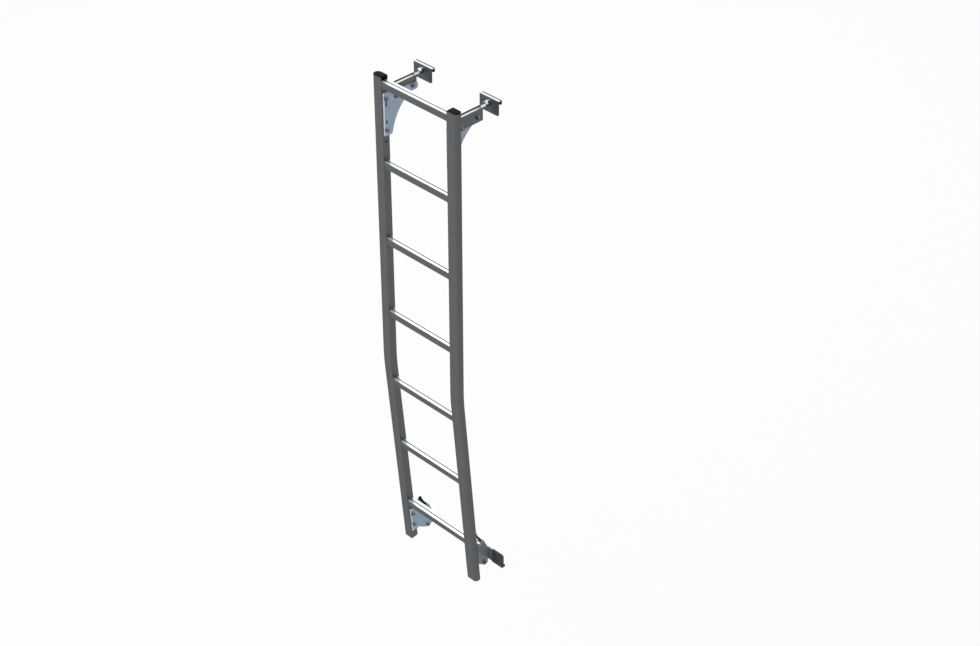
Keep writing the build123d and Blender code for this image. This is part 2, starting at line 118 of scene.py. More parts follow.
# Points round and along the fine shapes
HEX_POINTS = 144
HEX_LEVELS = 9
WASHER_POINTS = 64
BOLT_POINTS = 32
SCREW_POINTS = 40
ROD_POINTS = 48
THREAD_LEVELS = 6
KNURL_POINTS = 6
BOX_POINTS = 120
ARC_POINTS = 33
EDGE_POINTS = 5
BEAD_POINTS = 10
RIPPLE_POINTS = 6
FEWEST_STEPS = 12
RUNG_WELD_POINTS = 241

# Angles, in degrees, over which an edge stays sharp
SHARP = 35.0
WELD_SHARP = 60.0

# Hex heads and nuts: the 30 degree cone of the chamfer, the reach of one head, and the thread's hold
CONE_SPREAD = math.sqrt(3)
CONE_END = 0.48
HEAD_REACH = 0.018
BOLT_PLAIN = 0.006
NUT_BORE = 0.97
THREAD_DEPTH = 0.5
WASHER_EASE = 0.2

# Tension screws: eased edges, depth of the knurls and chamfer of the socket
SCREW_EASE = 0.0008
KNURL_DEPTH = 0.0002
SOCKET_CHAMFER = 1.08

# Top caps: inset of the plug, crown of the top, and the tongue's edges
PLUG_INSET = 0.0032
CROWN = 0.0004
CROWN_RUN = 0.004
TONGUE_EASE = 0.0004
TONGUE_CORNER = 0.06

# Welds: corner of a rung's section, how far a bead stands in, its ripples, and the runs along an arm
RUNG_CORNER = 0.0015
BEAD_STANDS_IN = 0.15
RIPPLE_SWELL = 0.10
ARM_WELD_MARGIN = 0.002
FRONT_ROD_WELD = (0.030, 0.070)
BACK_ROD_WELD = (0.045, 0.005)


def colour_setting(name, description, default):
    """Setting for a colour."""
    return FloatVectorProperty(
        name=name, description=description, subtype="COLOR", default=default, min=0, max=1)


def length_setting(name, description, default, smallest=0.0005):
    """Setting for a length."""
    return FloatProperty(name=name, description=description, unit="LENGTH", default=default, min=smallest)


def share_setting(name, description, default):
    """Setting for a share between 0 and 1."""
    return FloatProperty(name=name, description=description, subtype="FACTOR", default=default, min=0, max=1)


class LadderFinish(bpy.types.PropertyGroup):
    """Colours and gloss of the ladder's metals, plastics and rubbers, and the painted highlights, shade and
    reflections laid on them.
    """

    aluminium: colour_setting("Aluminium", "Colour of the stiles and rungs", (0.122, 0.125, 0.129))
    # Tread is a painted highlight: the rungs' upward faces are made light as if lit from above
    tread: colour_setting("Tread", "Colour of the bright treads on top of the rungs", (0.80, 0.83, 0.84))
    # Painted shade along the treads' grooves, where the painted highlight of the tread is left out
    groove_shade: colour_setting("Groove", "Colour of the floor of the treads' grooves", (0.200, 0.215, 0.225))
    zinc: colour_setting(
        "Zinc plate", "Colour of the bluish zinc on gussets and brackets", (0.294, 0.366, 0.444))
    # Zinc edge is a painted highlight on the plates' rims and on a strip behind their fronts
    zinc_edge_highlight: colour_setting(
        "Zinc edge", "Colour of the gussets' and brackets' bright cut edges", (0.70, 0.76, 0.86))
    arm: colour_setting("Arm", "Colour of the arms that carry the rods", (0.137, 0.146, 0.151))
    hook: colour_setting("Hook", "Colour of the hook plates", (0.098, 0.104, 0.110))
    # Hook top is a painted highlight on the upward faces of hooks and arms
    top_highlight: colour_setting(
        "Hook top", "Colour of the bright tops of hook plates and arms", (0.62, 0.66, 0.70))
    claw: colour_setting("Claw", "Colour of the claws' legs and flanges", (0.250, 0.265, 0.275))
    # Claw edge is a painted highlight on the claws' rims and, weaker, on their tabs
    claw_highlight: colour_setting("Claw edge", "Colour of the claws' tabs and cut edges", (0.95, 0.97, 1.00))
    # Bright zinc is a painted highlight on the tops of nuts and bolts
    bright: colour_setting("Bright zinc", "Colour of the tops of nuts and bolts", (0.86, 0.91, 0.93))
    rod: colour_setting("Rod", "Colour of the bright sides of the rods", (0.96, 0.98, 0.99))
    # Nut: the dark sides, with the painted highlight on top, make lit and shaded copies of one zinc
    nut: colour_setting("Nut", "Colour of the sides of the nuts on the rods", (0.16, 0.20, 0.24))
    # Tarnish is a painted dark reflection along the top of the rods
    rod_top_reflection: colour_setting("Top_reflection", "Colour of the weathered top of the rods", (0.020, 0.038, 0.046))
    bolt: colour_setting("Bolt", "Colour of the hex bolts", (0.140, 0.148, 0.158))
    # Black is also painted shade on the claws' flanges inside their boots
    black: colour_setting(
        "Black", "Colour of caps, edgings, tension screws and flanges in the boots", (0.004, 0.004, 0.006))
    rubber: colour_setting("Rubber", "Colour of the claws' rubber boots", (0.072, 0.076, 0.079))
    satin: share_setting("Satin", "Roughness of the drawn aluminium", 0.30)
    plated: share_setting("Plated", "Roughness of the plated sheet", 0.34)


class LadderDetail(bpy.types.PropertyGroup):
    """Sizes of the welds, threads, washers and caps."""

    weld: length_setting("Weld", "Radius of the weld beads", 0.0016)
    weld_ripple: length_setting("Weld ripple", "Spacing of the ripples along a weld", 0.0026)
    rod_pitch: length_setting("Rod pitch", "Thread pitch of the hook rods", 0.00175)
    rod_thread: length_setting("Rod thread", "Threaded length of a hook rod", 0.045, smallest=0.01)
    bolt_pitch: length_setting("Bolt pitch", "Thread pitch of the bolts and tension screws", 0.00125)
    washer: length_setting("Washer", "Radius of the washers under the bolt heads", 0.0085, smallest=0.005)
    washer_thick: length_setting("Washer thickness", "Thickness of the washers under the bolt heads", 0.0016)
    cap_edge: length_setting("Cap edge", "Rounding of the top caps' edges", 0.0008, smallest=0.0002)
    knurls: IntProperty(
        name="Knurls", description="Knurled flutes round a tension screw's head", default=30, min=8)


class LadderStage(bpy.types.PropertyGroup):
    """Camera, floor and lamps."""

    eye: FloatVectorProperty(
        name="Camera place", description="Where the camera stands", subtype="TRANSLATION", unit="LENGTH",
        default=(4.00415, -4.00234, 3.15626))
    aim: FloatVectorProperty(
        name="Camera direction", description="Where the camera looks", subtype="DIRECTION",
        default=(-1.0, 1.0, -1.0))
    lens: FloatProperty(
        name="Lens", description="Focal length on a 36 mm sensor, in millimetres", default=73.96, min=10)
    floor_drop: length_setting("Floor drop", "Height of the ladder's feet over the floor", 0.35, smallest=0)
    sky: FloatVectorProperty(
        name="Sky", description="Even light from all round", subtype="COLOR",
        default=(0.61, 0.64, 0.66), min=0, max=2)
    top_power: FloatProperty(
        name="Top lamp", description="Power of the softbox behind and above, in watts", default=128, min=0)
    key_power: FloatProperty(
        name="Key lamp", description="Power of the softbox in front, in watts", default=150, min=0)


class Socket:
    """An output of a shader node, on which + - * and abs add Math nodes."""

    def __init__(self, graph, output):
        self.graph = graph
        self.output = output

    def out(self, key):
        """Another output of the same node."""
        return Socket(self.graph, self.output.node.outputs[key])

    def maths(self, operation, first, second=0.0):
        """A Math node on two values."""
        return self.graph.add("ShaderNodeMath", {"operation": operation}, {0: first, 1: second})

    def __add__(self, other):
        return self.maths("ADD", self, other)

    def __radd__(self, other):
        return self.maths("ADD", other, self)

    def __sub__(self, other):
        return self.maths("SUBTRACT", self, other)

    def __rsub__(self, other):
        return self.maths("SUBTRACT", other, self)

    def __mul__(self, other):
        return self.maths("MULTIPLY", self, other)

    def __rmul__(self, other):
        return self.maths("MULTIPLY", other, self)

    def __abs__(self):
        return self.maths("ABSOLUTE", self)

    def most(self, other):
        """The larger of two values."""
        return self.maths("MAXIMUM", self, other)

    def least(self, other):
        """The smaller of two values."""
        return self.maths("MINIMUM", self, other)

    def step(self, low, high):
        """0 below low, 1 above high and a smooth rise between them."""
        return self.graph.add("ShaderNodeMapRange", {"interpolation_type": "SMOOTHSTEP"},
                              {"Value": self, "From Min": low, "From Max": high})


class Graph:
    """A node tree that is built one node at a time."""

    NAMES = {"base": "Base Color", "roughness": "Roughness", "metallic": "Metallic", "normal": "Normal",
             "level": "Specular IOR Level", "edge_tint": "Specular Tint"}
    NOISE_ROUGHNESS = 0.55

    def __init__(self, tree):
        self.tree = tree
        tree.nodes.clear()

    def add(self, kind, options=None, inputs=None, output=0):
        """Add a node, set its options first, then link or set its inputs, and give one of its outputs."""
        node = self.tree.nodes.new(kind)
        for name, value in (options or {}).items():
            setattr(node, name, value)
        for key, value in (inputs or {}).items():
            if isinstance(value, Socket):
                self.tree.links.new(value.output, node.inputs[key])
            else:
                node.inputs[key].default_value = value
        return Socket(self, node.outputs[output]) if len(node.outputs) else None

    def blend(self, factor, first, second):
        """Mix two colours by a factor."""
        return self.add("ShaderNodeMix", {"data_type": "RGBA"}, {0: factor, 6: first, 7: second}, output=2)

    def shaded(self, factor, colour, spread):
        """A colour, darker by a spread where the factor is 0 and lighter by it where the factor is 1."""
        return self.blend(factor, opaque(colour, 1 - spread), opaque(colour, 1 + spread))

    def coordinates(self):
        """Object coordinates."""
        return self.add("ShaderNodeTexCoord", output="Object")

    def split(self, vector):
        """The X, Y and Z of a vector."""
        parts = self.add("ShaderNodeSeparateXYZ", None, {0: vector})
        return parts, parts.out("Y"), parts.out("Z")

    def facing(self):
        """The X, Y and Z of the object's own normal."""
        return self.split(self.add("ShaderNodeTexCoord", output="Normal"))

    def noise(self, vector, scale, detail, stretch=(1.0, 1.0, 1.0)):
        """Noise between 0 and 1 at a scale, drawn out along an axis where its stretch is below 1."""
        mapped = self.add("ShaderNodeMapping", {"vector_type": "POINT"}, {"Vector": vector, "Scale": stretch})
        return self.add("ShaderNodeTexNoise", {"noise_dimensions": "3D"},
                        {"Vector": mapped, "Scale": scale, "Detail": detail,
                         "Roughness": self.NOISE_ROUGHNESS})

    def bump(self, height, strength, distance):
        """Normal from a height."""
        return self.add("ShaderNodeBump", None,
                        {"Strength": strength, "Distance": distance, "Height": height})

    def surface(self, **inputs):
        """Principled surface as the tree's output."""
        shader = self.add("ShaderNodeBsdfPrincipled", None, {self.NAMES[key]: inputs[key] for key in inputs})
        self.add("ShaderNodeOutputMaterial", None, {"Surface": shader})


def new_material(name):
    """An empty node material and its graph."""
    material = bpy.data.materials.new(name)
    material.use_nodes = True
    return material, Graph(material.node_tree)


def opaque(colour, share=1.0):
    """A colour, darkened or lightened by a share, with full alpha."""
    return tuple(min(1.0, channel * share) for channel in colour) + (1.0,)


def uneven(middle, *swings):
    """A value that swings about a middle: middle + size (noise - 1/2), for each size and noise."""
    value = middle - sum(size for size, noise in swings) / 2
    for size, noise in swings:
        value = value + size * noise
    return value


def middle_of(node):
    """Middle of a CAD node's box."""
    low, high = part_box(node)
    return (low + high) / 2


def lean():
    """Height of the stiles' bend and the slope of Y over Z below it, from the rungs' middles."""
    first, foot = middle_of(RUNGS[0]), middle_of(RUNGS[-1])
    step = foot - middle_of(RUNGS[-2])
    slope = step.y / step.z
    return foot.z - (foot.y - first.y) / slope, slope


def straightened(graph):
    """Object coordinates with the lean of the lower stiles taken out of Y, and that Y by itself."""
    bend, slope = lean()
    x, y, z = graph.split(graph.coordinates())
    across = y - slope * (z - bend).least(0.0)
    return graph.add("ShaderNodeCombineXYZ", None, {"X": x, "Y": across, "Z": z}), across


def drawn_metal(name, finish, along, treads=False):
    """Extruded aluminium: die lines along one axis, cloudy tone, and, if asked for, a painted highlight on
    the treads' upward faces with painted shade along their grooves.
    """
    material, graph = new_material(name)
    place, across = straightened(graph)
    stretch = tuple(DIE_LINE_STRETCH if axis == along else 1.0 for axis in "XYZ")
    lines = graph.noise(place, scale=900.0, detail=3.0, stretch=stretch)
    bands = graph.noise(place, scale=160.0, detail=2.0, stretch=stretch)
    cloud = graph.noise(place, scale=14.0, detail=4.0)
    tone = BAND_SHARE * bands + (1 - BAND_SHARE) * cloud
    base = graph.shaded(tone, finish.aluminium, spread=0.16)
    if treads:
        # Painted highlight on faces looking up, and painted shade down the middle of the tread along its
        # grooves
        upward = graph.facing()[2]
        tread_highlight = graph.shaded(tone, finish.tread, spread=0.08)
        beside_groove = abs(across - middle_of(RUNGS[0]).y).step(*GROOVE_SIDES)
        in_groove_shade = (1.0 - beside_groove) * upward.step(*LOOKS_NOT_DOWN)
        base = graph.blend(upward.step(*LOOKS_UP), base, tread_highlight)
        base = graph.blend(in_groove_shade, base, opaque(finish.groove_shade))
    gloss = uneven(finish.satin, (0.06, lines), (0.04, cloud))
    graph.surface(base=base, metallic=0.5, roughness=gloss, level=METAL_LEVEL,
                  edge_tint=opaque(DRAWN_GLANCE), normal=graph.bump(lines, strength=0.05, distance=0.0004))
    return material


def plate_metal(name, colour, finish, metallic, layers):
    """Plated sheet: cloudy zinc, with a second colour laid over it where a layer's mask is 1; the layers are
    painted highlights and painted shade.
    """
    material, graph = new_material(name)
    place = graph.coordinates()
    cloud = graph.noise(place, scale=38.0, detail=5.0)
    grain = graph.noise(place, scale=1400.0, detail=2.0, stretch=(1.0, 1.0, 0.15))
    base = graph.shaded(cloud, colour, spread=0.20)
    for mask, tint in layers:
        base = graph.blend(mask(graph), base, graph.shaded(cloud, tint, spread=0.12))
    gloss = uneven(finish.plated, (0.10, cloud), (0.06, grain))
    graph.surface(base=base, metallic=metallic, roughness=gloss, level=METAL_LEVEL,
                  edge_tint=opaque(PLATE_GLANCE), normal=graph.bump(grain, strength=0.04, distance=0.0003))
    return material


def side_highlights(graph):
    """1 on the rim of a plate whose faces look along X, and on a strip beside its front edge: where the
    painted highlight goes.
    """
    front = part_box("left_gusset")[0].y
    rim = 1.0 - abs(graph.facing()[0]).step(*LOOKS_ASIDE)
    behind_strip = straightened(graph)[1].step(*(front + behind for behind in HIGHLIGHT_STRIP))
    return rim.most(1.0 - behind_strip)


def leg_highlights(graph):
    """Where the painted highlight goes: 1 on the rim of the claw's leg, less on the tab, and 0 on the flange,
    which is nearer to the door.
    """
    x, y, z = graph.facing()
    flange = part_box("right_claw_boot")[0].y - FLANGE_BEFORE_BOOT
    on_flange = graph.split(graph.coordinates())[1].step(flange - FLANGE_BLEND, flange + FLANGE_BLEND)
    rim = 1.0 - abs(x).step(*LOOKS_ASIDE)
    return rim * (1.0 - on_flange) * (1.0 - TAB_HIGHLIGHT_CUT * z.step(*TOP_OF_TAB))


def shade_in_boot(graph):
    """1 on the part of the claw's flange that the rubber boot covers, which is painted black as shade where
    it shows through the boot.
    """
    middle = middle_of(RUNGS[0]).x
    inner_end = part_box("right_claw_boot")[0].x - middle
    return abs(graph.split(graph.coordinates())[0] - middle).step(inner_end, inner_end + BOOT_BLEND)


def highlight_on_tops(graph):
    """1 on faces that look straight up, where the painted highlight goes."""
    return graph.facing()[2].step(*LOOKS_UP)


def bar_metal(name, colour, metallic, roughness, top=None, slope=TOP_OF_HEX):
    """Plain round or forged metal: even colour with faint clouds and grain, and a second colour on top, which
    is painted light: a painted highlight on nuts and bolts, and a painted dark reflection on rods.

    The second colour starts at the first slope, the Z of the normal, and is full at the second."""
    material, graph = new_material(name)
    place = graph.coordinates()
    cloud = graph.noise(place, scale=45.0, detail=4.0)
    grain = graph.noise(place, scale=1100.0, detail=2.0, stretch=(1.0, 0.06, 1.0))
    base = graph.shaded(cloud, colour, spread=0.15)
    if top:
        upward = uneven(graph.facing()[2], (0.08, cloud)).step(*slope)
        base = graph.blend(upward, base, opaque(top))
    gloss = uneven(roughness, (0.08, cloud), (0.08, grain))
    graph.surface(base=base, metallic=metallic, roughness=gloss, level=METAL_LEVEL,
                  edge_tint=opaque(BAR_GLANCE), normal=graph.bump(grain, strength=0.05, distance=0.0003))
    return material


def black_finish(name, colour, roughness, level, grain_scale, depth):
    """Moulded black plastic or rubber with a fine grain."""
    material, graph = new_material(name)
    place = graph.coordinates()
    grain = graph.noise(place, scale=grain_scale, detail=3.0)
    cloud = graph.noise(place, scale=60.0, detail=2.0)
    base = graph.blend(cloud, opaque(colour, share=0.7), opaque(colour, share=1.5))
    graph.surface(base=base, metallic=0.0, roughness=uneven(roughness, (0.12, grain)), level=level,
                  normal=graph.bump(grain, strength=0.25, distance=depth))
    return material


def grid_faces(rows, columns):
    """Quads of a grid of rows by columns that closes on itself along the columns."""
    row, column = np.meshgrid(np.arange(rows - 1), np.arange(columns), indexing="ij")
    after = (column + 1) % columns
    corners = (row * columns + column, row * columns + after,
               (row + 1) * columns + after, (row + 1) * columns + column)
    return np.stack(corners, axis=-1).reshape(-1, 4)


def ringed(radius, height):
    """Rings round Z, x = r cos t, y = r sin t, z = h, with radius[i, j] at height[i] and angle j."""
    rows, columns = radius.shape
    angle = np.linspace(0, TURN, columns, endpoint=False)
    level = np.broadcast_to(np.asarray(height)[:, None], radius.shape)
    points = np.stack((radius * np.cos(angle), radius * np.sin(angle), level), axis=-1)
    return points.reshape(-1, 3), grid_faces(rows, columns)


def layered(outline, insets, heights):
    """Layers of an outline: z = h, (x, y) = outline(inset), for each height and the inset at it."""
    layers = np.stack([outline(inset) for inset in insets])
    level = np.broadcast_to(np.asarray(heights)[:, None, None], layers.shape[:2] + (1,))
    points = np.concatenate((layers, level), axis=-1)
    return points.reshape(-1, 3), grid_faces(*layers.shape[:2])


def frame_of(direction):
    """Three axes as columns, the last along a direction."""
    up = np.array(direction, float) / np.linalg.norm(direction)
    across = np.cross((1.0, 0.0, 0.0) if abs(up[0]) < NEARLY_ALONG else (0.0, 1.0, 0.0), up)
    across /= np.linalg.norm(across)
    return np.stack((across, np.cross(up, across), up), axis=1)


def placed(shape, origin, direction):
    """A shape stood on an origin along a direction."""
    points, faces = shape
    return points @ frame_of(direction).T + np.asarray(origin, float), faces


def joined(shapes):
    """One list of points and one of faces from several shapes."""
    starts = np.cumsum([0] + [len(points) for points, faces in shapes[:-1]])
    points = np.concatenate([points for points, faces in shapes])
    faces = np.concatenate([shape[1] + start for shape, start in zip(shapes, starts)])
    return points, faces


def new_piece(name, shape, material, body, replaced=None, sharp=SHARP):
    """Make a mesh from points and faces, close its poles, turn its faces out and let it ride on a body."""
    points, faces = shape
    mesh = bpy.data.meshes.new(name)
    mesh.from_pydata(points.tolist(), [], faces.tolist())
    form = bmesh.new()
    form.from_mesh(mesh)
    bmesh.ops.remove_doubles(form, verts=form.verts, dist=MERGED)
    bmesh.ops.recalc_face_normals(form, faces=form.faces)
    form.to_mesh(mesh)
    form.free()
    mesh.shade_smooth()
    mesh.set_sharp_from_angle(angle=math.radians(sharp))
    mesh.materials.append(material)
    piece = bpy.data.objects.new(name, mesh)
    bpy.context.scene.collection.objects.link(piece)
    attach(piece, body)
    if replaced:
        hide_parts(replaced)


def dress(nodes, material):
    """Give CAD nodes a material in all their slots."""
    for name in nodes:
        node = frame["nodes"][name]
        if not node.material_slots:
            node.data.materials.append(material)
        for slot in node.material_slots:
            slot.material = material


def on_both(*names):
    """The left and right nodes of some names."""
    return [f"{side}_{name}" for name in names for side in SIDES]


def node_points(name):
    """A CAD node's vertices as an array, each place once."""
    vertices = frame["nodes"][name].data.vertices
    flat = np.empty(len(vertices) * 3, np.float32)
    vertices.foreach_get("co", flat)
    return np.unique(np.round(flat.reshape(-1, 3).astype(float), 6), axis=0)


def levels_of(values):
    """The different values among some lengths, in order, to a hundredth of a millimetre."""
    return np.unique(np.round(values, 5))


def hexagon(flats, columns, turn=0.0):
    """Radius of a hexagon at each angle: half the flats over the cosine of the angle from a flat's middle."""
    angle = np.linspace(0, TURN, columns, endpoint=False) - turn
    from_flat = (angle + HEX_SIDE / 2) % HEX_SIDE - HEX_SIDE / 2
    return flats / 2 / np.cos(from_flat)


def hex_head(flats, height, bore=0.0, both_ends=False, turn=0.0):
    """Hex head or nut on Z = 0: r = min(hexagon, cone), with a cone at its top or at both ends."""
    end_radius = CONE_END * flats
    level = np.concatenate(([0.0], np.linspace(0, height, HEX_LEVELS), [height]))
    cone = end_radius + (height - level) * CONE_SPREAD
    if both_ends:
        cone = np.minimum(cone, end_radius + level * CONE_SPREAD)
    radius = np.minimum(hexagon(flats, HEX_POINTS, turn)[None, :], cone[:, None])
    radius[0] = bore
    radius[-1] = bore
    if bore:
        radius = np.concatenate((radius, radius[:1]))
        level = np.concatenate((level, [0.0]))
    return ringed(radius, level)


def washer(radius, height, bore):
    """Round washer on Z = 0: a square profile with eased outer corners, turned round Z."""
    ease = WASHER_EASE * height
    profile = np.array([bore, radius - ease, radius, radius, radius - ease, bore, bore])
    level = np.array([0.0, 0.0, ease, height - ease, height, height, 0.0])
    return ringed(np.repeat(profile[:, None], WASHER_POINTS, axis=1), level)


def threaded_shank(radius, length, plain, pitch, columns):
    """Shank on Z = 0, plain, then threaded: r = R - depth (1 - |2 frac(z / pitch - t / turn) - 1|)."""
    turns = max(1, round((length - plain) / pitch))
    depth = THREAD_DEPTH * pitch
    level = plain + np.linspace(0, 1, turns * THREAD_LEVELS + 1) * (length - plain)
    share = np.linspace(0, 1, columns, endpoint=False)
    phase = (level[:, None] / pitch - share[None, :]) % 1.0
    fade = np.clip(np.minimum(level - plain, length - level) / pitch, 0, 1)[:, None]
    thread = radius - depth * fade * (1 - np.abs(2 * phase - 1))
    start = np.repeat([[0.0], [radius]], columns, axis=1)
    tip = np.repeat([[radius - depth], [0.0]], columns, axis=1)
    levels = np.concatenate(([0.0, 0.0], level, [length, length]))
    return ringed(np.concatenate((start, thread, tip)), levels)


def rounded_box(width, height, corner, count=BOX_POINTS):
    """Outline of a rounded box by arc length, with its outward normals: a run and a quarter arc, four times.

    The first point is repeated at the end."""
    runs = np.array([width, height, width, height]) - 2 * corner
    arc = corner * TURN / 4
    walked = np.concatenate(([0.0], np.cumsum(np.stack((runs, np.full(4, arc)), axis=1).ravel())))
    s = np.linspace(0, walked[-1], count)
    part = np.clip(np.searchsorted(walked, s, side="right") - 1, 0, 7)
    side = part // 2
    on_arc = part % 2 == 1
    along = s - walked[part]
    heading = -side * TURN / 4
    turn = np.where(on_arc, along / corner, 0.0)
    run = np.where(on_arc, runs[side], along)
    x, y = width / 2, height / 2
    starts = np.array([[corner - x, y], [x, y - corner], [x - corner, -y], [-x, corner - y]])
    forward = np.stack((np.cos(heading), np.sin(heading)), axis=1)
    inward = np.stack((np.sin(heading), -np.cos(heading)), axis=1)
    outward = forward * np.sin(turn)[:, None] - inward * np.cos(turn)[:, None]
    centre = starts[side] + forward * run[:, None] + inward * corner
    return centre + outward * corner, outward


def d_outline(width, depth, inset):
    """Outline of the stile's D-section, drawn in by an inset: a flat side, two straights, a half circle."""
    radius = depth / 2 - inset
    arc = np.linspace(-TURN / 4, TURN / 4, ARC_POINTS)
    x = np.concatenate(([inset], width - depth / 2 + radius * np.cos(arc), [inset]))
    y = np.concatenate(([-radius], radius * np.sin(arc), [radius]))
    return np.stack((x, y), axis=1)


def tongue_outline(width, height, inset):
    """Outline of a top cap's tongue, drawn in by an inset: a box with slightly rounded corners."""
    tall = height - 2 * inset
    return rounded_box(width - 2 * inset, tall + SAME, TONGUE_CORNER * tall + SAME / 3)[0][:-1]


def bead(path, normals, binormals, radius, ripple):
    """Weld bead: a tube along a path, c(s) + r(s) (n cos t + b sin t), with r swelling at each ripple."""
    angle = np.linspace(0, TURN, BEAD_POINTS, endpoint=False)
    spans = np.linalg.norm(np.diff(path, axis=0), axis=1)
    length = np.concatenate(([0.0], np.cumsum(spans)))
    from_end = np.minimum(length, length[-1] - length)
    rounded_off = np.sqrt(np.clip(from_end / (2 * radius), 0.0, 1.0))
    swell = radius * rounded_off * (1 + RIPPLE_SWELL * np.sin(TURN * length / ripple))
    ring = normals[:, None] * np.cos(angle)[None, :, None] + binormals[:, None] * np.sin(angle)[None, :, None]
    points = path[:, None] + swell[:, None, None] * ring
    return points.reshape(-1, 3), grid_faces(len(path), BEAD_POINTS)


def rung_welds(name, detail):
    """Weld beads at both ends of a rung, down its front, under it and up its back, on the stiles."""
    points = node_points(name)
    bend, slope = lean()
    low, high = points.min(axis=0), points.max(axis=0)
    middle = (low + high) / 2
    tilt = math.atan(-slope) if middle[2] < bend else 0.0
    depth_axis = np.array([0.0, math.cos(tilt), math.sin(tilt)])
    height_axis = np.array([0.0, -math.sin(tilt), math.cos(tilt)])
    depth = np.ptp(points @ depth_axis)
    height = np.ptp(points @ height_axis)
    axes = np.stack((depth_axis, height_axis))
    outline, outward = rounded_box(depth, height, RUNG_CORNER, RUNG_WELD_POINTS)
    below_tread = outline[:, 1] < height / 2 - SAME
    outline, outward = outline[below_tread], outward[below_tread]
    shapes = []
    for end, into in ((low[0], 1.0), (high[0], -1.0)):
        path = outline @ axes + middle
        path[:, 0] = end + into * BEAD_STANDS_IN * detail.weld
        along = np.broadcast_to((into, 0.0, 0.0), path.shape)
        shapes.append(bead(path, outward @ axes, along, detail.weld, detail.weld_ripple))
    return joined(shapes)


def straight_weld(start, end, normal, detail):
    """Weld bead along a straight line, rounded off at both ends."""
    start, end = np.array(start), np.array(end)
    length = np.linalg.norm(end - start)
    count = max(FEWEST_STEPS, int(length / detail.weld_ripple * RIPPLE_POINTS))
    path = start + np.linspace(0, 1, count)[:, None] * (end - start)
    normals = np.broadcast_to(normal, path.shape)
    binormals = np.broadcast_to(np.cross(normal, (end - start) / length), path.shape)
    return bead(path, normals, binormals, detail.weld, detail.weld_ripple)


def arm_welds(side, detail):
    """Weld beads that hold an arm to its stile and its rod to the arm."""
    low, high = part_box(f"{side}_top_arm")
    bottom, top = low.z + ARM_WELD_MARGIN, high.z - ARM_WELD_MARGIN
    front_run = [low.y + behind for behind in FRONT_ROD_WELD]
    back_run = [high.y - before for before in BACK_ROD_WELD]
    shapes = []
    for x, outward in ((low.x, (-1.0, 0.0, 0.0)), (high.x, (1.0, 0.0, 0.0))):
        shapes.append(straight_weld((x, low.y, bottom), (x, low.y, top), outward, detail))
        for start, end in (front_run, back_run):
            shapes.append(straight_weld((x, start, high.z), (x, end, high.z), outward, detail))
    return joined(shapes)


def bolt_shapes(name, side, detail):
    """Bolts along X, read off a CAD set: washers, chamfered heads, threaded shanks, and nuts if any."""
    points = node_points(name)
    inward = INWARD[side]
    face = points[points[:, 0] * inward > (points[:, 0] * inward).max() - SAME]
    apart = np.linalg.norm(face[:, None, 1:] - face[None, :, 1:], axis=-1)
    bolt_of = np.argmax(apart < HEAD_REACH, axis=1)
    outward = np.array([-inward, 0.0, 0.0])
    shapes = []
    for bolt in np.unique(bolt_of):
        top = face[bolt_of == bolt].mean(axis=0)
        ring = np.linalg.norm(points[:, 1:] - top[1:], axis=1)
        own = ring < HEAD_REACH / 2
        ring, depth = ring[own], (points[own] - top) @ outward
        flats = ring.max() * FLATS_OF_CORNER
        shank = ring.min()
        levels = levels_of(depth[ring > flats / 2])
        head = levels[1]
        seat = top + outward * head
        crown = hex_head(flats, head - detail.washer_thick)
        thread = threaded_shank(shank, depth.max() - head, BOLT_PLAIN, detail.bolt_pitch, BOLT_POINTS)
        shapes.append(placed(washer(detail.washer, detail.washer_thick, shank), seat, -outward))
        shapes.append(placed(crown, seat - outward * detail.washer_thick, -outward))
        shapes.append(placed(thread, seat, outward))
        if len(levels) > 2:
            nut = hex_head(flats, levels[3] - levels[2], shank * NUT_BORE, both_ends=True)
            shapes.append(placed(nut, top + outward * levels[2], outward))
    return joined(shapes)


def rod_shape(name, detail):
    """A hook rod: plain bar with a thread at the hook's end."""
    low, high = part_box(name)
    length = high.y - low.y
    radius = (high.x - low.x) / 2
    shank = threaded_shank(radius, length, length - detail.rod_thread, detail.rod_pitch, ROD_POINTS)
    middle = middle_of(name)
    return placed(shank, (middle.x, low.y, middle.z), (0.0, 1.0, 0.0))


def hook_nut_shape(nut, rod):
    """Chamfered hook nut with its round washer and a lock nut, turned as in the CAD, bored for the rod."""
    points = node_points(nut)
    front, between, seam, back = levels_of(points[:, 1])
    middle = middle_of(rod)
    away = points[:, (0, 2)] - (middle.x, middle.z)
    ring = np.linalg.norm(away, axis=1)
    bore = ring.min()
    end = points[:, 1] < front + SAME
    flats = ring[end].max() * FLATS_OF_CORNER
    corner = away[end][np.argmax(ring[end])]
    turn = math.atan2(corner[0], -corner[1]) - HEX_SIDE / 2
    to_climber = (0.0, -1.0, 0.0)
    shapes = ((back, washer(ring.max(), back - seam, bore)),
              (seam, hex_head(flats, seam - between, bore, both_ends=True)),
              (between, hex_head(flats, between - front, bore, both_ends=True, turn=turn)))
    return joined([placed(shape, (middle.x, level, middle.z), to_climber) for level, shape in shapes])


